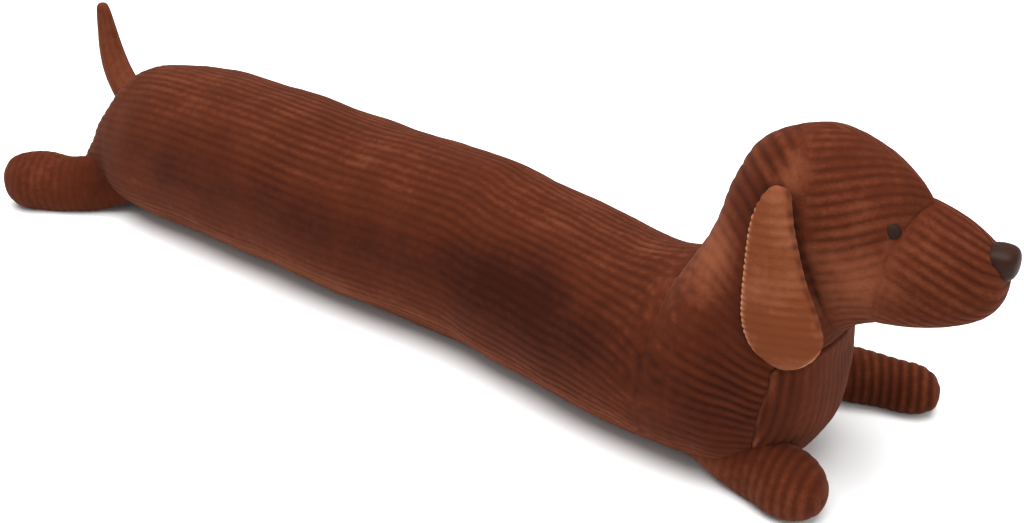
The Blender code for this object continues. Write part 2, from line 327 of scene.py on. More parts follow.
def cord_cloth(name, deep, middle, light, valley_shade, contrast, sheen):
    """Ribbed cord: painted shade in the valleys between the ribs and in creases, and pile drawn light
    or dark by brushed nap and by painted light and shade.
    """
    bench = Bench(name)
    place = bench.place()
    cut = bench.node("ShaderNodeUVMap", {"uv_map": "cord"})
    across = bench.node("ShaderNodeSeparateXYZ", sockets={"Vector": cut}, output="X")
    nap, stand, crease = (
        bench.node("ShaderNodeAttribute", {"attribute_name": layer}, output="Fac")
        for layer in ("nap", "ribs", "crease"))
    lane = abs(across.part() * 2 - 1)  # 0 along the middle of a rib, 1 in a valley
    # how much painted shade is laid across a rib, most in its valley
    groove_shade = bench.ease(lane, 0.15, 1.0)
    strands = bench.node("ShaderNodeMapping", sockets={"Vector": cut, "Scale": (3.5, 1.8, 1.0)})
    streak = bench.grain(1.0, strands, 2.0)
    tufts = bench.grain(0.0011, place, 3.0, 0.65)
    clouds = bench.grain(0.034, place, 3.0)
    specks = bench.grain(0.006, place, 2.0, 0.6)
    mottle = (clouds - 0.5) * 0.4 + (specks - 0.5) * 0.32
    mottle = mottle + (streak - 0.5) * 0.1 + (tufts - 0.5) * 0.25
    lightness = 0.5 + nap + mottle * contrast + (0.5 - lane) * stand * 0.2
    stops = ((0.0, deep), (0.5, middle), (1.0, light))
    pile = bench.node("ShaderNodeValToRGB", {"stops": stops}, {"Fac": lightness.held()})
    # Painted shade: the valley colour is laid into the valleys between the ribs here, and into creases on
    # the next line.
    ribs = bench.blend(groove_shade * (stand * 0.42 + 0.01), pile, valley_shade)
    shade = bench.blend(crease.held() * 0.75, ribs, valley_shade)
    height = tufts * 0.6 + streak * 0.4
    fuzz = bench.node("ShaderNodeBump", sockets={"Strength": 0.55, "Distance": 0.0005, "Height": height})
    return bench.finish({
        "Base Color": shade, "Normal": fuzz, "Roughness": 0.9, "Specular IOR Level": 0.04,
        "Sheen Weight": sheen, "Sheen Roughness": 0.45, "Sheen Tint": (0.9, 0.42, 0.28, 1)})


def nose_finish():
    bench = Bench("nose_satin")
    place = bench.place()
    smudge = bench.grain(0.006, place, 3.0)
    shade = bench.blend(smudge, colour(28, 12, 6), colour(48, 25, 15))
    pits = bench.node("ShaderNodeBump", sockets={
        "Strength": 0.25, "Distance": 0.0003, "Height": bench.grain(0.0009, place, 2.0)})
    return bench.finish({
        "Base Color": shade, "Normal": pits, "Roughness": 0.4 + smudge * 0.15,
        "Specular IOR Level": 0.1})


def eye_finish():
    bench = Bench("eye_shell")
    haze = bench.grain(0.002, bench.place(), 2.0)
    shade = bench.blend(haze, colour(30, 19, 13), colour(42, 29, 22))
    return bench.finish({
        "Base Color": shade, "Roughness": 0.5 + haze * 0.2, "Specular IOR Level": 0.05})


# ---- laying the straight dog in its bends

FRONT_TURN = math.radians(sum(turn for _, _, turn in BENDS))
LINE_STEP = 0.5
LINE_X = np.arange(-60, 900, LINE_STEP)
LINE_TURN = sum(
    np.radians(turn) * np.clip((LINE_X - start) / (end - start), 0, 1) for start, end, turn in BENDS)
MID_TURN = (LINE_TURN[1:] + LINE_TURN[:-1]) / 2
PLAN_X = LINE_X[0] + LINE_STEP * np.concatenate(([0], np.cumsum(np.cos(MID_TURN))))
PLAN_Y = LINE_STEP * np.concatenate(([0], np.cumsum(np.sin(MID_TURN))))


def lie(points):
    """Places of the straight dog's points once the body lies in its bends."""
    x, y, z = np.moveaxis(np.asarray(points, float), -1, 0)
    turn = np.interp(x, LINE_X, LINE_TURN)
    return np.stack((
        np.interp(x, LINE_X, PLAN_X) - y * np.sin(turn) - MIDDLE[0],
        np.interp(x, LINE_X, PLAN_Y) + y * np.cos(turn) - MIDDLE[1],
        z), -1)


# ---- numbers along rows


def between(values, places, closed=False):
    """Smooth in-between values along the first axis."""
    count = len(values)
    low = np.floor(places).astype(int)
    share = (places - low).reshape((-1,) + (1,) * (values.ndim - 1))

    def at(offset):
        index = low + offset
        return values[index % count] if closed else values[np.clip(index, 0, count - 1)]

    a, b, c, d = at(-1), at(0), at(1), at(2)
    return b + 0.5 * share * (c - a + share * (2 * a - 5 * b + 4 * c - d + share * (3 * (b - c) + d - a)))


def norm(vectors):
    return np.linalg.norm(vectors, axis=-1)


def run_along(points, axis=0):
    """Length run along an axis of a grid of points, from its first one."""
    steps = norm(np.diff(points, axis=axis))
    start = np.zeros_like(np.take(steps, [0], axis=axis))
    return np.concatenate((start, np.cumsum(steps, axis=axis)), axis=axis)


def filled_in(table, spacing):
    """A table of outline rows with rows added at an even spacing."""
    table = np.array(table, float)
    steps = np.maximum(norm(np.diff(table[:, 0:2], axis=0)), norm(np.diff(table[:, 2:4], axis=0)))
    steps = np.maximum(steps, np.abs(np.diff(table[:, 4])))
    length = np.concatenate(([0], np.cumsum(steps)))
    count = max(4, math.ceil(length[-1] / spacing))
    places = np.interp(np.linspace(0, length[-1], count + 1), length, np.arange(len(table)))
    return between(table, places)


def even_round(ring, count):
    """A closed ring of points spaced evenly, from its first point."""
    length = run_along(np.vstack((ring, ring[:1])))
    places = np.interp(np.arange(count) / count * length[-1], length, np.arange(len(ring) + 1))
    return between(ring, places, closed=True), length[-1], places


def oval(row, count):
    """A ring of points round an oval between two outline points, from the bottom up the right side."""
    top = np.array((row[0], 0, row[1]))
    bottom = np.array((row[2], 0, row[3]))
    half, egg, back = row[4:]
    angle = np.pi - 2 * np.pi * np.arange(4 * count) / (4 * count)
    rise = np.cos(angle)[:, None]
    ring = (top + bottom) / 2 + (top - bottom) / 2 * rise
    ring[:, 1] = -np.sin(angle) * half * (1 - egg * rise[:, 0])
    ring[:, 0] -= back * np.abs(np.sin(angle)) * (1 + rise[:, 0] / 2)
    ring[:, 2] = np.maximum(ring[:, 2], 0)
    if norm(top - bottom) < 1e-6:
        return np.repeat(ring[:1], count, axis=0)
    return even_round(ring, count)[0]


def outward(grid, heart, closed=True):
    """Unit normals of a grid of points, pointing away from its heart line."""
    rows = np.gradient(grid, axis=0)
    if closed:
        columns = np.roll(grid, -1, axis=1) - np.roll(grid, 1, axis=1)
    else:
        columns = np.gradient(grid, axis=1)
    normal = np.cross(rows, columns)
    size = norm(normal)[..., None]
    away = grid - heart
    plain = away / np.maximum(norm(away)[..., None], 1e-9)
    normal = np.where(size > 1e-6, normal / np.maximum(size, 1e-9), plain)
    middle = len(grid) // 2
    if (normal[middle] * away[middle]).sum() < 0:
        normal = -normal
    return normal


def lumps(points, size, seed):
    """Slow rise and fall of the stuffing under the cloth, from about -1 to 1."""
    shift = Vector((seed * 17.3, seed * 9.1, seed * 4.7))
    heights = [noise.noise(Vector(p) / size + shift) for p in points.reshape(-1, 3)]
    return np.array(heights).reshape(points.shape[:-1]) * 1.6


def near(distance, width):
    """1 along a line or at a place, fading away from it over a width."""
    return np.exp(-(distance / width) ** 2)


def ramp(value, width):
    """From 0 up to 1 over a width."""
    return np.clip(value / width, 0, 1)


# ---- filled forms

VOXEL = 5.0
SMOOTHINGS = 8
DRAWN_IN = 1.0  # how far the form is drawn in before it is filled
MOST_MOVE = 2.5  # how far the filling may push it
PRESSURE = 4
MOMENTS = 20
BEYOND = 1.8  # how far the form is looked for, as a share of the way from the heart to a point
ROUGH_COLUMNS = 72  # points round a cover before they are spaced evenly
DRAWN_TOGETHER = 0.05  # a ring smaller than this is one point
MEETING = 9.0  # over what length a cover is eased into the one that it meets


def applied(piece, name, kind, **settings):
    """A modifier put on the piece, set and applied."""
    modifier = piece.modifiers.new(name, kind)
    for key, value in settings.items():
        setattr(modifier, key, value)
    bpy.ops.object.modifier_apply(modifier=modifier.name)


def read_points(mesh, key):
    """The places or normals of a mesh's points, as rows."""
    values = np.empty(len(mesh.vertices) * 3)
    mesh.vertices.foreach_get(key, values)
    return values.reshape(-1, 3)


def set_places(mesh, places):
    mesh.vertices.foreach_set("co", places.ravel())
    mesh.update()


def filled_form(name, solids):
    """One form from the solids: joined, its ribs smoothed away, filled, and kept near where it was."""
    bpy.ops.object.select_all(action="DESELECT")
    shell = bmesh.new()
    for solid in solids:
        shell.from_mesh(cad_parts[solid].data)
    bmesh.ops.remove_doubles(shell, verts=shell.verts, dist=0.01 * MM)
    mesh = bpy.data.meshes.new(name)
    shell.to_mesh(mesh)
    shell.free()
    form = bpy.data.objects.new(name, mesh)
    bpy.context.scene.collection.objects.link(form)
    bpy.context.view_layer.objects.active = form
    form.select_set(True)
    applied(form, "joined", "REMESH", mode="VOXEL", voxel_size=VOXEL * MM)
    applied(form, "smoothed", "SMOOTH", factor=0.5, iterations=SMOOTHINGS)
    start = read_points(form.data, "co") - read_points(form.data, "normal") * DRAWN_IN * MM
    set_places(form.data, start)
    cloth = form.modifiers.new("stuffing", "CLOTH")
    cloth.settings.use_pressure = True
    cloth.settings.uniform_pressure_force = PRESSURE
    cloth.settings.effector_weights.gravity = 0
    for moment in range(1, MOMENTS + 1):
        bpy.context.scene.frame_set(moment)
    bpy.ops.object.modifier_apply(modifier=cloth.name)
    bpy.context.scene.frame_set(1)
    move = read_points(form.data, "co") - start
    set_places(form.data, start + move / np.maximum(norm(move)[:, None] / (MOST_MOVE * MM), 1))
    applied(form, "rounder", "SUBSURF", levels=1, render_levels=1)
    tree = BVHTree.FromPolygons(
        [v.co / MM for v in form.data.vertices], [tuple(p.vertices) for p in form.data.polygons])
    bpy.data.objects.remove(form)
    return tree


def settled(form, rings, heart):
    """Points brought to the form's surface along lines from its heart."""
    out = rings.copy()
    for row, column in np.ndindex(rings.shape[:2]):
        start = Vector(heart[row, 0])
        reach = Vector(rings[row, column]) - start
        hit = form.ray_cast(start, reach.normalized(), reach.length * BEYOND)[0]
        if hit is not None:
            out[row, column] = hit
    return out


def stuffed(form, rings, heart):
    """Rings moved a little with the filled form, and given the slow lumps of the stuffing."""
    move = settled(form, rings, heart) - rings
    for _ in range(3):
        move = move * 0.5 + (np.roll(move, 1, 1) + np.roll(move, -1, 1)) / 4
        move[1:-1] = move[1:-1] * 0.5 + (move[:-2] + move[2:]) / 4
    normal = outward(rings, heart)
    bulge = np.clip((move * normal).sum(-1), -GIVE_IN, GIVE_OUT) + EASE
    rings = rings + normal * bulge[..., None]
    swell = lumps(rings, 48, 3) * 0.75 + lumps(rings, 21, 4) * 0.35
    return rings + normal * swell[..., None]


class Cover:
    """A cloth cover round a filled form, as rings of points, before its ribs are raised."""

    def __init__(self, form, table, columns, deepest=None, spacing=FINE):
        rough = filled_in(table, COARSE)
        flat = np.array([oval(row, ROUGH_COLUMNS) for row in rough])
        middles = np.stack(
            ((rough[:, 0] + rough[:, 2]) / 2, 0 * rough[:, 0], (rough[:, 1] + rough[:, 3]) / 2), -1)
        if deepest:
            middles[:, 0] = np.clip(middles[:, 0], *deepest)
        heart = lie(middles)[:, None, :]
        rings = stuffed(form, lie(flat), heart)
        longest = max(norm(np.diff(rings, axis=0)).max(axis=1).sum(), 8)
        places = np.linspace(0, len(rings) - 1, max(6, math.ceil(longest / spacing)) + 1)
        self.rows = between(rough, places)
        self.heart = between(heart, places)
        grid, straight, loops = [], [], []
        for ring, plain in zip(between(rings, places), between(flat, places)):
            if norm(ring - ring[0]).max() < DRAWN_TOGETHER:
                loops.append(0.0)
                grid.append(np.repeat(ring[:1], columns, axis=0))
                straight.append(np.repeat(plain[:1], columns, axis=0))
            else:
                points, loop, along = even_round(ring, columns)
                loops.append(loop)
                grid.append(points)
                straight.append(between(plain, along, closed=True))
        self.points = np.array(grid)
        self.straight = np.array(straight)
        self.loop = np.array(loops)[:, None]
        self.share = (np.arange(columns) / columns)[None, :]
        self.normal = outward(self.points, self.heart)
        self.measure()

    def measure(self):
        """Lengths run along the cover from its first ring and from its last."""
        self.from_start = run_along(self.points)
        self.from_end = self.from_start[-1:] - self.from_start

    def meet(self, other):
        """Start exactly where the other cover ends."""
        ring = even_round(other.points[-1], self.points.shape[1])[0]
        ease = np.exp(-self.from_start / MEETING)[..., None]
        self.points = self.points + (ring - self.points[0]) * ease

    def joined(self, other):
        """This cover run on into the next, which starts at its last ring."""
        for key in ("points", "straight", "normal", "rows", "heart", "loop"):
            setattr(self, key, np.concatenate((getattr(self, key), getattr(other, key)[1:])))
        self.measure()
        return self

    def round_it(self):
        """How far each point is round its ring from the bottom."""
        return self.share * self.loop

    def climb(self):
        """How far each point is round its ring from the middle of the side, up being more."""
        return np.where(self.share < 0.5, self.share - 0.25, 0.75 - self.share) * self.loop

    def panel(self):
        """Places on the flat side panel that the cover is cut from."""
        top, bottom = self.rows[:, 0:2], self.rows[:, 2:4]
        up = (top - bottom) / np.maximum(norm(top - bottom)[:, None], 1e-6)
        quarter = self.straight.shape[1] // 4
        middle = (self.straight[:, quarter] + self.straight[:, 3 * quarter])[:, [0, 2]] / 2
        return middle[:, None, :] + up[:, None, :] * self.climb()[..., None]


# ---- ribs, seams and pile

SLOW_STEP = 6  # slow changes are worked out on every sixth point
# How deep the cloth is drawn in at a seam, how deep its puckers are, and where their waves start.
BODY_SEAM = (0.1, 0.5, 1)
NECK_SEAM = (0.15, 0.1, 4)
FACE_SEAM = (0.3, 0.15, 8)
NECK_SHADE, FACE_SHADE = 0.06, 0.12  # how dark the painted shade in the creases at those seams is
def rib(phase):
    """Height of the cord from 0 in a valley to 1 along the middle of a rib."""
    part = phase - np.floor(phase)
    return 1 - np.abs(2 * part - 1) ** 2.8


def raised(phase, strength):
    """How far the ribs lift the cloth off its middle level."""
    return (rib(phase) - 0.5) * PILE * strength


def pressed(distance, reach):
    """Share of the ribs' height left near a seam, where the iron went over them."""
    return 1 - near(distance, reach)


def seam_dip(distance, round_it, depth, pucker, start):
    """How deep the cloth is drawn in beside a seam, with small puckers along it."""
    wave = np.sin(round_it / 12.0 * 2 * np.pi + 3 * np.sin(round_it / 31.0 + start))
    drawn = depth * (near(distance, 1.5) + 0.3 * np.exp(-distance / 5))
    return drawn + pucker * (wave * 0.5 + 0.5) * np.exp(-distance / 9)


def pucker_shade(distance, round_it):
    """Painted shade in short puckers beside the seam round the body."""
    wave = np.sin(round_it / 9.5 * 2 * np.pi + 2.5 * np.sin(round_it / 23.0))
    wave = wave * np.sin(round_it / 31.0 + 1)
    return 0.3 * np.clip(wave + 0.15, 0, 1) * near(distance, 2.2)


# Where the ribs stand out or lie flat, and where the pile is drawn light or dark, in the packed
# frame: a middle, the reaches along x, y and z, and what is added there. The second table is
# partly brushed nap and partly painted light and shade: painted shade on the sides and where the
# hind paw meets the body, painted light along the bottom edge where light from the floor falls,
# and a painted rim of light on the chest.
RIB_PATCHES = (
    ((-385, -20, 90), (30, 60, 50), 0.35),
    ((-220, -82, 66), (150, 60, 36), -0.42),
    ((-20, -74, 72), (110, 50, 32), -0.30),
    ((-118, -30, 118), (40, 50, 30), 0.35),
    ((205, -40, 118), (45, 50, 34), 0.20),
    ((303, -66, 82), (34, 50, 30), 0.95),
    ((281, -28, 212), (36, 60, 36), 0.75),
    ((308, -27, 222), (10, 16, 12), -0.40),
    ((355, -32, 166), (24, 34, 20), -0.25),
    ((376, -22, 160), (24, 34, 16), -0.20),
    ((345, -12, 112), (20, 30, 14), -0.50),
    ((408, 2, 180), (26, 40, 20), 0.35),
)
LIGHT_AND_NAP_PATCHES = (
    ((355, -32, 162), (26, 40, 26), 0.46),
    ((267, -35, 158), (20, 30, 24), 0.60),
    # painted shade where the hind paw meets the body
    ((-340, -80, 32), (26, 30, 34), -0.32),
    ((308, -27, 222), (9, 14, 12), 0.30),
    ((285, -57, 15), (16, 14, 14), 0.22),
    # painted shade on the middle of the side
    ((115, -66, 92), (60, 30, 34), -0.36),
    # a painted rim of light along the edge of the chest
    ((333, 40, 60), (9, 12, 34), 0.15),
    # painted shade over the middle of the body's side
    ((-60, -90, 86), (320, 44, 30), -0.30),
    # painted light along the bottom edge, where light from the floor falls
    ((-60, -78, 20), (320, 30, 17), 0.34),
    # more painted shade on the sides of the body and shoulders
    ((150, -80, 84), (60, 44, 34), -0.12),
    ((290, -66, 70), (60, 50, 44), -0.22),
)


def patched(points, base, patches):
    """A strength over the cloth, from a base and soft patches."""
    strength = np.full(points.shape[:2], float(base))
    for middle, reach, added in patches:
        strength += added * near(norm((points - np.array(middle)) / np.array(reach)), 1)
    return strength


def slow_change(points, size, seed):
    """Lumps worked out on a few points and drawn smoothly between them."""
    slow = lumps(points[::SLOW_STEP, ::SLOW_STEP], size, seed)
    slow = between(slow, np.linspace(0, len(slow) - 1, points.shape[0]))
    return between(slow.T, np.linspace(0, slow.shape[1] - 1, points.shape[1])).T


def rib_strength(points, base):
    slow = slow_change(points, 60, 31) * 0.12 + slow_change(points, 18, 33) * 0.16
    return np.clip(patched(points, base, RIB_PATCHES) + slow, 0.05, 1)


def wavy(phase, points):
    """The ribs' count with the slight wander of cloth pulled over stuffing."""
    return phase + slow_change(points, 34, 35) * 0.14


def nap_and_light_of(points, phase, along):
    """How light the pile is drawn: broad patches of brushed nap and of painted light and shade, and
    streaks that run along single ribs.
    """
    where = np.stack((np.floor(phase) * 0.83, along * 0.16, 0 * phase), -1)
    streaks = lumps(where[::2], 1.0, 37)
    streaks = between(streaks, np.linspace(0, len(streaks) - 1, points.shape[0]))
    return patched(points, 0.0, LIGHT_AND_NAP_PATCHES) + streaks * 0.07


def dappled(points, from_seam):
    """Crushed spots of pile in a band beside the seam round the body, from about -1 to 1."""
    band = near(from_seam - 12, 24)
    rows = np.flatnonzero(band.max(axis=1) > 0.05)
    spots = np.zeros(points.shape[:2])
    spots[rows] = lumps(points[rows], 6.0, 45)
    return spots * band


def shade_by_ear(straight):
    """Painted shade beside an ear on the head or neck: a shadow line before its front edge, and shade
    behind it.
    """
    x, y, z = np.moveaxis(straight, -1, 0)
    table = np.array(EAR[::-1], float)
    rear, front, out = (np.interp(z, table[:, 0], table[:, k]) for k in (1, 2, 3))
    height = ramp(z - 108, 10) * ramp(218 - z, 8) * (np.abs(y) > 12)
    shaded = front - 0.5 * np.maximum(out - np.abs(y), 0) + 2.6
    # A painted shadow line before the front edge, and painted shade on the head and neck behind the ear.
    before = near(x - shaded, 3.6) * (0.82 + 0.18 * np.cos(2 * np.pi * z / 8.5))
    before = before * ramp(z - 138, 12)
    shade_behind = np.where(x < rear, np.exp(-(rear - x) / 11), near(x - rear, 6)) * (x < front - 4)
    return before * height * 0.95, shade_behind * height * 0.4


# ---- making a cloth piece

TURNED_IN = 0.9  # where the cloth turned in at a seam ends, as a share of the way out from the heart


def stitched(points, heart, at_start, at_end):
    """The cloth turned in at its seams and closed inside."""
    rows = [points]
    if at_start:
        way_out = points[:1] - heart[:1]
        rows = [heart[:1] + way_out * share for share in (0.0, TURNED_IN)] + rows
    if at_end:
        way_out = points[-1:] - heart[-1:]
        rows = rows + [heart[-1:] + way_out * share for share in (TURNED_IN, 0.0)]
    return np.concatenate(rows), 2 * at_start, 2 * at_end


def padded_rows(values, before, after):
    return np.concatenate([values[:1]] * before + [values] + [values[-1:]] * after)


def ring_faces(rows, columns):
    """Corners of the faces between rings of points."""
    index = np.arange(rows * columns).reshape(rows, columns)
    onward = np.roll(index, -1, axis=1)
    return np.stack((index[:-1], onward[:-1], onward[1:], index[1:]), -1).reshape(-1, 4).tolist()


def make_cloth(name, node, cloth, points, heart, fields, ends):
    """The finished piece: a closed mesh of the rings, with the cord's own map and the lie of its pile.

    The fields give, at each point, the ribs counted across the cloth, the length run along them, how
    light the pile is drawn by brushed nap and painted light and shade, how far the ribs stand out and
    how dark the painted shade in a crease is. The ends say whether the first and the last ring are
    seams, where the cloth is turned in.
    """
    points = points.copy()
    points[..., 2] = np.maximum(points[..., 2], FLOOR)
    shape = points.shape[:2]
    points, before, after = stitched(points, heart, *ends)
    phase, along, *layers = (
        padded_rows(np.broadcast_to(values, shape), before, after).ravel() for values in fields)
    mesh = bpy.data.meshes.new(name)
    mesh.from_pydata((points * MM).reshape(-1, 3).tolist(), [], ring_faces(*points.shape[:2]))
    corners = np.empty(len(mesh.loops), int)
    mesh.loops.foreach_get("vertex_index", corners)
    cut = np.stack((phase, along), -1)[corners]
    mesh.uv_layers.new(name="cord").data.foreach_set("uv", cut.ravel())
    for key, values in zip(("nap", "ribs", "crease"), layers):
        mesh.attributes.new(key, "FLOAT", "POINT").data.foreach_set("value", values)
    clean = bmesh.new()
    clean.from_mesh(mesh)
    bmesh.ops.remove_doubles(clean, verts=clean.verts, dist=0.003 * MM)
    bmesh.ops.dissolve_degenerate(clean, edges=clean.edges, dist=0.001 * MM)
    bmesh.ops.holes_fill(clean, edges=[e for e in clean.edges if e.is_boundary])
    bmesh.ops.recalc_face_normals(clean, faces=clean.faces)
    clean.to_mesh(mesh)
    clean.free()
    mesh.shade_smooth()
    mesh.set_sharp_from_angle(angle=math.radians(50))
    mesh.materials.append(cloth)
    piece = bpy.data.objects.new(name, mesh)
    bpy.context.scene.collection.objects.link(piece)
    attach(piece, "root")
    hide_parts(node)


# ---- body, shoulders, head and muzzle

BODY_WALES = 62
BODY_COLUMNS = BODY_WALES * 6
DROOP = 22.0  # how far the body's ribs turn down before they reach the shoulder seam
DROOP_REACH = 62  # over what length they do
FAN_FROM = (919.0, 20.0)  # where the shoulders' ribs would meet, as x and z
FAN_REACH = 260.0  # how far from there they are a wale apart
CHEST_TOP = 110.5  # up to what height the shoulders lie flat and low under the chest panel
CHEST_SUNK = 2.0
CHEST_PROUD = 0.7  # how far the panel lies over them
HEAD_SLANT = 20  # degrees that the ribs rise forward on the side of the head
MUZZLE_SLANT = -28
MUZZLE_WALE = 6.4


def columns_for(table, spacing=FINE):
    """An even number of points round the widest ring of a table."""
    loops = []
    for row in np.array(table, float):
        ring = oval(row, 60)
        loops.append(run_along(np.vstack((ring, ring[:1])))[-1])
    return 2 * round(max(loops) / spacing / 2)


def body(form, cloth):
    rump = Cover(form, RUMP, BODY_COLUMNS, (45, 700))
    tube = Cover(form, TUBE, BODY_COLUMNS, spacing=LENGTHWISE)
    tube.meet(rump)
    end = Cover(form, TUBE_END, BODY_COLUMNS)
    end.meet(tube)
    first = len(rump.points)
    whole = rump.joined(tube).joined(end)
    pitch = whole.loop / BODY_WALES
    pitch[:first] = pitch[first]
    climb = whole.climb()
    before_seam = SEAM_X - whole.rows[:, 0:1]
    droop = DROOP * np.clip(1 - before_seam / DROOP_REACH, 0, 1) ** 2.2
    high = np.pi * climb / np.maximum(whole.loop / 2, 1)
    crushed = dappled(whole.points, whole.from_end)
    phase = BODY_WALES / 4 + (climb + droop * np.cos(high)) / pitch
    phase = wavy(phase, whole.points) + crushed * 0.08
    ribs = np.clip(rib_strength(whole.points, 0.5) + crushed * 0.25, 0.05, 1)
    ribs *= pressed(whole.from_end, 12)
    lift = raised(phase, 0.3 + 0.7 * ribs) * (ramp(whole.from_start, 14) * pressed(whole.from_end, 6))
    lift -= seam_dip(whole.from_end, whole.round_it(), *BODY_SEAM)
    along = whole.from_start / WALE
    nap = nap_and_light_of(whole.points, phase, along) + crushed * 0.12
    # painted shade in the puckers beside the seam
    crease = pucker_shade(whole.from_end, whole.round_it())
    make_cloth("body_cover", "body", cloth, whole.points + whole.normal * lift[..., None],
               whole.heart, (phase, along, nap, ribs, crease), (False, True))
    return whole


def shoulders(form, cloth, trunk):
    """The fan: ribs spread from a point ahead of the chest, and lie flat under the chest panel."""
    cover = Cover(form, SHOULDERS, columns_for(SHOULDERS))
    cover.meet(trunk)
    panel = cover.panel()
    x, z = panel[..., 0], panel[..., 1]
    slope = np.arctan2(z - FAN_FROM[1], FAN_FROM[0] - x)
    phase = wavy(slope * FAN_REACH / WALE, cover.points)
    along = np.hypot(z - FAN_FROM[1], FAN_FROM[0] - x) / WALE
    seam = np.array(CHEST_SEAM[::-1], float)
    ahead = cover.straight[..., 0] - np.interp(cover.straight[..., 2], seam[:, 1], seam[:, 0])
    under_chest = ramp(ahead, 2.0) * ramp(CHEST_TOP - cover.straight[..., 2], 3)
    start, end, round_it = cover.from_start, cover.from_end, cover.round_it()
    ribs = rib_strength(cover.points, 0.15) * pressed(start, 12) * pressed(end, 5)
    lift = raised(phase, 0.3 + 0.7 * ribs) * (1 - under_chest) - under_chest * CHEST_SUNK
    lift *= pressed(start, 6) * pressed(end, 4)
    lift -= seam_dip(start, round_it, *BODY_SEAM) + seam_dip(end, round_it, *NECK_SEAM)
    # painted shade beside the ear: the line before it darkens the crease, the shade behind it the pile
    before, shade_behind = shade_by_ear(cover.straight)
    nap = nap_and_light_of(cover.points, phase, along) - shade_behind + dappled(cover.points, start) * 0.12
    crease = np.maximum(pucker_shade(start, round_it) + NECK_SHADE * near(end, 2), before)
    make_cloth("shoulder_cover", "shoulders", cloth,
               cover.points + cover.normal * lift[..., None], cover.heart,
               (phase, along, nap, ribs, crease), (True, True))
    return cover


def slanted(cover, degrees, wale):
    """Ribs counted across the cloth where they rise forward at a slant on the side panel."""
    panel = cover.panel()
    angle = math.radians(degrees)
    phase = (panel[..., 1] * math.cos(angle) - panel[..., 0] * math.sin(angle)) / wale
    along = (panel[..., 0] * math.cos(angle) + panel[..., 1] * math.sin(angle)) / WALE
    return wavy(phase, cover.points), along


def head(form, cloth, neck):
    cover = Cover(form, HEAD, columns_for(HEAD, FACE_FINE), spacing=FACE_FINE)
    cover.meet(neck)
    phase, along = slanted(cover, HEAD_SLANT, WALE)
    start, end, round_it = cover.from_start, cover.from_end, cover.round_it()
    ribs = rib_strength(cover.points, 0.42) * pressed(start, 7) * pressed(end, 4)
    lift = raised(phase, 0.2 + 0.7 * ribs) * pressed(start, 4) * pressed(end, 3)
    lift -= seam_dip(start, round_it, *NECK_SEAM) + seam_dip(end, round_it, *FACE_SEAM)
    # painted shade beside the ear: the line before it darkens the crease, the shade behind it the pile
    before, shade_behind = shade_by_ear(cover.straight)
    nap = nap_and_light_of(cover.points, phase, along) - shade_behind
    crease = np.maximum(NECK_SHADE * near(start, 2) + FACE_SHADE * near(end, 2), before)
    make_cloth("head_cover", "head", cloth, cover.points + cover.normal * lift[..., None],
               cover.heart, (phase, along, nap, ribs, crease), (True, True))
    return cover


def muzzle(form, cloth, face):
    cover = Cover(form, MUZZLE, columns_for(MUZZLE, FACE_FINE), (700, 796), FACE_FINE)
    cover.meet(face)
    phase, along = slanted(cover, MUZZLE_SLANT, MUZZLE_WALE)
    start = cover.from_start
    ribs = rib_strength(cover.points, 0.46) * pressed(start, 4)
    lift = raised(phase, 0.3 + 0.7 * ribs) * ramp(cover.from_end, 14) * pressed(start, 3)
    lift -= seam_dip(start, cover.round_it(), *FACE_SEAM)
    nap = nap_and_light_of(cover.points, phase, along)
    make_cloth("muzzle_cover", "muzzle", cloth,
               cover.points + cover.normal * lift[..., None], cover.heart,
               (phase, along, nap, ribs, FACE_SHADE * near(start, 2)), (True, False))


# ---- chest, ears, paws and tail

CHEST_ROWS = np.linspace(2.5, 108.5, 19)  # heights where the panel is laid on the shoulders
CHEST_FAN = np.radians(np.linspace(-90, 90, 40))
CHEST_AHEAD = 100.0  # how far ahead of its seam the shoulders are looked for
CHEST_HIGH = 125
CHEST_COLUMNS = 150
CHEST_LINING = 5.0  # how far in the panel's back lies
EAR_WALE = 5.8
EAR_SLANT = math.radians(6)
EAR_HALF_THICK = 3.0
EAR_ROUGH, EAR_COLUMNS = 240, 120
PAW_ROUGH, PAW_COLUMNS = 240, 110
TAIL_COLUMNS = 96
TAIL_WALES = 10


def round_angles(count):
    return 2 * np.pi * np.arange(count) / count


def evenly(table, length, count):
    """The table's rows at even steps of a length that was measured along it."""
    return between(table, np.interp(np.linspace(0, length[-1], count), length, np.arange(len(table))))


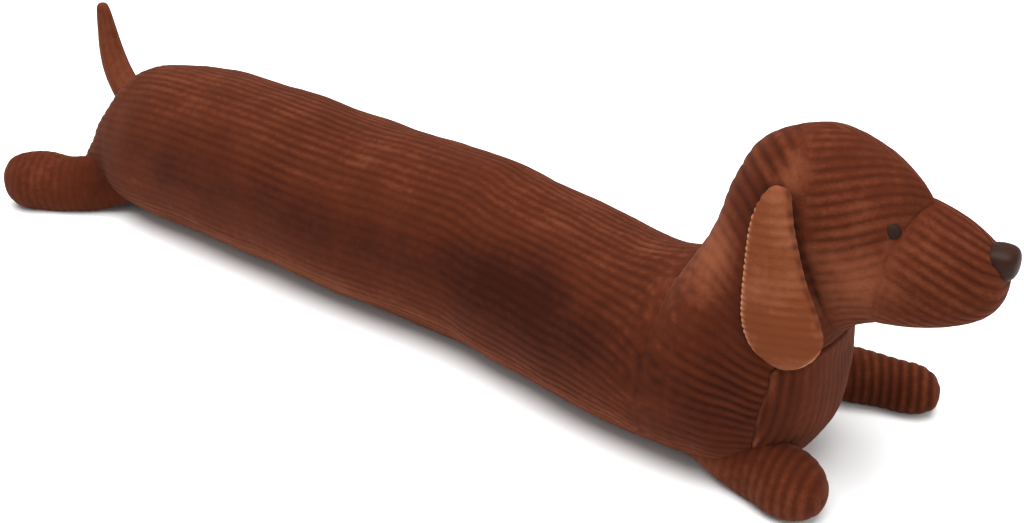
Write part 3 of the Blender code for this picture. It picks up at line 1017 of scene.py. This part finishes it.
def chest(neck, cloth):
    """The front panel: rows at even heights, each from the right seam round to the left seam."""
    form = BVHTree.FromPolygons(neck.points.reshape(-1, 3).tolist(), ring_faces(*neck.points.shape[:2]))
    seam = np.array(CHEST_SEAM[::-1], float)
    edge = np.interp(CHEST_ROWS, seam[:, 1], seam[:, 0])
    heart = lie(np.stack((edge, 0 * edge, CHEST_ROWS), -1))[:, None, :]
    aim = np.stack(np.broadcast_arrays(
        edge[:, None] + CHEST_AHEAD * np.cos(CHEST_FAN), CHEST_AHEAD * np.sin(CHEST_FAN),
        CHEST_ROWS[:, None]), -1)
    rows = settled(form, lie(aim), heart)
    missed = norm(rows - heart) > 0.95 * CHEST_AHEAD
    for row, column in zip(*np.nonzero(missed)):
        rows[row, column] = form.find_nearest(Vector(rows[row, column]))[0]
    rows = between(rows, np.linspace(0, len(rows) - 1, round(CHEST_HIGH / FINE)))
    heart = between(heart, np.linspace(0, len(heart) - 1, len(rows)))
    grid = np.array([evenly(row, run_along(row), CHEST_COLUMNS) for row in rows])
    normal = outward(grid, heart, closed=False)
    from_edge = run_along(grid, 1)
    width = from_edge[:, -1:]
    inward = np.minimum(from_edge, width - from_edge)
    phase = wavy((from_edge - width / 2) / WALE, grid)
    up = run_along(grid)
    ends = np.minimum(up, up[-1:] - up)
    ribs = np.clip(0.95 - inward / 36, 0.05, 1)
    lift = raised(phase, 0.3 + 0.7 * ribs) + CHEST_PROUD
    lift -= 4.0 * near(inward, 1.6) + 1.8 * near(ends, 1.2)
    nap = nap_and_light_of(grid, phase, up / WALE) + 0.35 * near(inward - 2.5, 2.5)
    lining = (grid - normal * CHEST_LINING)[:, ::-6]
    points = np.concatenate((grid + normal * lift[..., None], lining), axis=1)
    fields = [np.concatenate((v, v[:, ::-6]), axis=1) for v in (phase, up / WALE, nap, ribs, 0 * phase)]
    make_cloth("chest_panel", "chest", cloth, points, points.mean(1, keepdims=True),
               fields, (True, True))


def ear(side, name, node, cloth):
    """A padded flap that hangs down the side of the head; side is 1 for left and -1 for right."""
    table = np.array(EAR, float)
    length = run_along(table[:, :1])
    angle = round_angles(EAR_ROUGH)
    rings = []
    for high, rear, front, out in evenly(table, length, round(length[-1] / 0.9)):
        half = (front - rear) / 2
        across = np.sign(np.cos(angle)) * np.abs(np.cos(angle)) ** 0.75 * half
        thick = np.sin(angle) * EAR_HALF_THICK * min(1, half / 6)
        cup = 1.6 * (1 - (across / max(half, 1)) ** 2) * min(1, half / 12)
        ring = np.stack((
            (front + rear) / 2 + across, side * (out + thick + cup), np.full(len(angle), high)), -1)
        rings.append(even_round(ring, EAR_COLUMNS)[0])
    straight = np.array(rings)
    x, z = straight[..., 0], straight[..., 2]
    phase = (z * math.cos(EAR_SLANT) - x * math.sin(EAR_SLANT)) / EAR_WALE
    along = (x * math.cos(EAR_SLANT) + z * math.sin(EAR_SLANT)) / WALE
    points = lie(straight)
    heart = points.mean(1, keepdims=True)
    normal = outward(points, heart)
    middle = x.mean(1, keepdims=True)
    rim = np.abs(x - middle)
    rim = rim / np.maximum(rim.max(1, keepdims=True), 1)
    rear = x < middle
    low = ramp(132 - z, 16)
    oversewn = rib(phase * 1.6)
    lift = (rib(phase) - 0.5) * 0.35 + (oversewn - 0.5) * 0.9 * rear * rim ** 14 * (1 - low)
    points = points + normal * lift[..., None]
    # A painted highlight along the ear's rim: on the crests of the oversewn stitches at the rear, and
    # along the bottom.
    edge = np.maximum(rim ** 20 * rear * oversewn ** 2, rim ** 20 * low) * ramp(207 - z, 10)
    nap = 0.9 * edge + 0.08 * slow_change(points, 22, 39)
    ribs = np.clip(0.15 + 0.12 * slow_change(points, 26, 41), 0, 1)
    from_front = np.abs(x - x.max(1, keepdims=True))
    # A painted shadow line along the ear's front edge, where it lies by the cheek.
    crease = near(from_front - 1.0, 1.8) * (0.6 + 0.3 * np.cos(2 * np.pi * z / 8.5)) * ramp(z - 134, 10)
    make_cloth(name, node, cloth, points, heart, (phase, along, nap, ribs, crease),
               (False, False))


def paw(shape, cloth, seed):
    """A stub leg lying on the floor, ribbed across, with a rounded end."""
    node, root_x, root_y, heading, turn, plump, stretch, table, toe, slant, ribs = shape
    table = np.array(table, float)
    length = table[-1, 0] * stretch
    stations = np.arange(0, length, 1.1)
    toes = np.linspace(0, np.pi / 2, 24)[:-1]
    along = np.concatenate((stations, length + toe * np.sin(toes), [length + toe]))
    shrink = np.concatenate((np.ones(len(stations)), np.cos(toes) ** 0.8, [0.0]))
    reached = np.minimum(along, length)
    angle = np.radians(heading + turn * reached / length)
    steps = np.diff(along, prepend=0)
    centre_x = root_x + np.cumsum(np.cos(angle) * steps)
    centre_y = root_y + np.cumsum(np.sin(angle) * steps)
    half, top, bottom = (
        plump * np.interp(reached / stretch, table[:, 0], table[:, k]) for k in (1, 2, 3))
    middle, rise = (top + bottom) / 2, (top - bottom) / 2 * shrink
    half = half * shrink
    turned = round_angles(PAW_ROUGH)
    rings, aside = [], []
    for k in range(len(along)):
        out = np.sin(turned) * half[k]
        ring = np.stack((
            centre_x[k] - np.sin(angle[k]) * out, centre_y[k] + np.cos(angle[k]) * out,
            np.maximum(middle[k] - np.cos(turned) * rise[k], 0)), -1)
        if half[k] > 0.01:
            points, _, places = even_round(ring, PAW_COLUMNS)
            aside.append(between(out, places, closed=True))
            rings.append(points)
        else:
            aside.append(np.zeros(PAW_COLUMNS))
            rings.append(np.repeat(ring[:1], PAW_COLUMNS, axis=0))
    points = lie(np.array(rings))
    heart = lie(np.stack((centre_x, centre_y, np.maximum(middle, 2)), -1))[:, None, :]
    heart[along > length - 12] = heart[np.searchsorted(along, length - 12)]
    normal = outward(points, heart)
    share = np.arange(PAW_COLUMNS) / PAW_COLUMNS
    bulge = lumps(points[::SLOW_STEP, ::SLOW_STEP], 26, seed) * 1.2
    bulge = between(between(bulge, np.linspace(0, len(bulge) - 1, len(points))).T,
                    share * bulge.shape[1], closed=True).T
    run = run_along(points).mean(1)[:, None]
    slant = math.radians(slant)
    phase = (along[:, None] * math.cos(slant) + np.array(aside) * math.sin(slant)) / WALE
    ribs = ribs * np.interp(along / length, (0.35, 1.0), (0.45, 1.6))[:, None] + 0 * phase
    lift = raised(phase, np.minimum(2.2 * ribs, 0.2 + 0.7 * ribs)) * ramp(run[-1] - run, 10) + bulge
    points = points + normal * lift[..., None]
    across = np.minimum(share, 1 - share)[None, :] * 2 * np.pi * half[:, None] / WALE
    make_cloth(node + "_cover", node, cloth, points, heart,
               (phase, across, patched(points, 0.0, LIGHT_AND_NAP_PATCHES), ribs, 0 * phase), (True, False))


def tail(cloth):
    table = np.array(TAIL, float)
    length = run_along(table[:, :2])
    rows = evenly(table, length, round(length[-1] / 1.2))
    rows[:, 2] = np.maximum(rows[:, 2], 0)
    ahead = np.gradient(rows[:, :2], axis=0)
    ahead /= norm(ahead)[:, None]
    angle = round_angles(TAIL_COLUMNS)
    rings = []
    for (x, z, radius), (go_x, go_z) in zip(rows, ahead):
        back = np.cos(angle) * radius
        rings.append(np.stack((x - go_z * back, np.sin(angle) * radius, z + go_x * back), -1))
    points = lie(np.array(rings))
    heart = lie(np.stack((rows[:, 0], 0 * rows[:, 0], rows[:, 1]), -1))[:, None, :]
    run = run_along(points).mean(1)[:, None]
    share = np.arange(TAIL_COLUMNS)[None, :] / TAIL_COLUMNS
    phase = np.minimum(share, 1 - share) * TAIL_WALES + 0 * run
    lift = raised(phase, 0.5) * ramp(rows[:, 2:3], 9)
    points = points + outward(points, heart) * lift[..., None]
    make_cloth("tail_cover", "tail", cloth, points, heart,
               (phase, run / WALE, np.array(0.22), np.array(0.15), np.array(0.0)), (True, False))


# ---- nose and eyes


def seated(piece, name, node, finish):
    """A finished hard piece with its place in its mesh."""
    piece.name = name
    bpy.ops.object.transform_apply(location=True, rotation=True, scale=True)
    bpy.ops.object.shade_smooth()
    piece.data.materials.append(finish)
    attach(piece, "root")
    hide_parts(node)


def chosen(piece, test):
    """Edit mode, with only the faces selected whose middle and normal pass the test."""
    bpy.ops.object.mode_set(mode="EDIT")
    bpy.ops.mesh.select_all(action="DESELECT")
    bpy.ops.mesh.select_mode(type="FACE")
    shape = bmesh.from_edit_mesh(piece.data)
    for face in shape.faces:
        face.select = test(face.calc_center_median(), face.normal)
    bmesh.update_edit_mesh(piece.data)


def nose_pad(finish):
    """A soft block with rounded corners, smaller below, turned with the head."""
    place, (deep, half, tall) = NOSE
    bpy.ops.object.select_all(action="DESELECT")
    bpy.ops.mesh.primitive_cube_add(size=2, location=(0, 0, 0))
    pad = bpy.context.active_object
    pad.scale = (deep * MM, half * MM, tall * MM)
    bpy.ops.object.transform_apply(location=True, rotation=True, scale=True)
    chosen(pad, lambda middle, normal: normal.z < -0.9)
    bpy.ops.transform.resize(value=(0.95, 0.9, 1))
    bpy.ops.mesh.select_all(action="SELECT")
    bpy.ops.mesh.subdivide(number_cuts=1)
    bpy.ops.transform.tosphere(value=0.5)
    bpy.ops.object.mode_set(mode="OBJECT")
    applied(pad, "rounder", "SUBSURF", levels=3, render_levels=3)
    pad.location = Vector(lie(place)) * MM
    pad.rotation_euler = (0, 0, FRONT_TURN)
    seated(pad, "nose_pad", "nose", finish)


def eye_button(side, name, node, finish):
    """A low dome, pressed flat where it sits on the head."""
    (x, y, z), radius = EYE
    bpy.ops.object.select_all(action="DESELECT")
    bpy.ops.mesh.primitive_uv_sphere_add(
        segments=32, ring_count=16, radius=radius * MM, location=(0, 0, 0))
    dome = bpy.context.active_object
    chosen(dome, lambda middle, normal: middle.z < -0.2 * MM)
    bpy.ops.transform.resize(value=(1.12, 1.12, 0.3))
    bpy.ops.object.mode_set(mode="OBJECT")
    dome.scale = (1, 1, 0.5)
    facing = Vector((0.4, side * 0.9, 0.15))
    facing.rotate(Matrix.Rotation(FRONT_TURN, 3, "Z"))
    dome.rotation_euler = facing.to_track_quat("Z", "Y").to_euler()
    dome.location = Vector(lie((x, side * y, z))) * MM
    seated(dome, name, node, finish)


# ---- the dog

make_camera()
make_studio()

brown = cord_cloth(
    "brown_cord_cloth", colour(42, 14, 7), colour(71, 30, 15), colour(112, 61, 40), colour(26, 7, 3),
    contrast=1.0, sheen=0.1)
ear_brown = cord_cloth(
    "ear_cord_cloth", colour(74, 34, 17), colour(97, 50, 28), colour(168, 112, 84), colour(48, 18, 9),
    contrast=0.3, sheen=0.08)

whole_dog = filled_form("whole_dog", ("body", "shoulders", "chest", "head", "muzzle"))
trunk = body(whole_dog, brown)
neck = shoulders(whole_dog, brown, trunk)
face = head(whole_dog, brown, neck)
muzzle(whole_dog, brown, face)
chest(neck, brown)
ear(-1, "ear_flap_right", "ear_right", ear_brown)
ear(1, "ear_flap_left", "ear_left", ear_brown)
for seed, shape in enumerate(PAWS, 11):
    paw(shape, brown, seed)
tail(brown)
nose_pad(nose_finish())
eye_shell = eye_finish()
eye_button(-1, "eye_button_right", "eye_right", eye_shell)
eye_button(1, "eye_button_left", "eye_left", eye_shell)
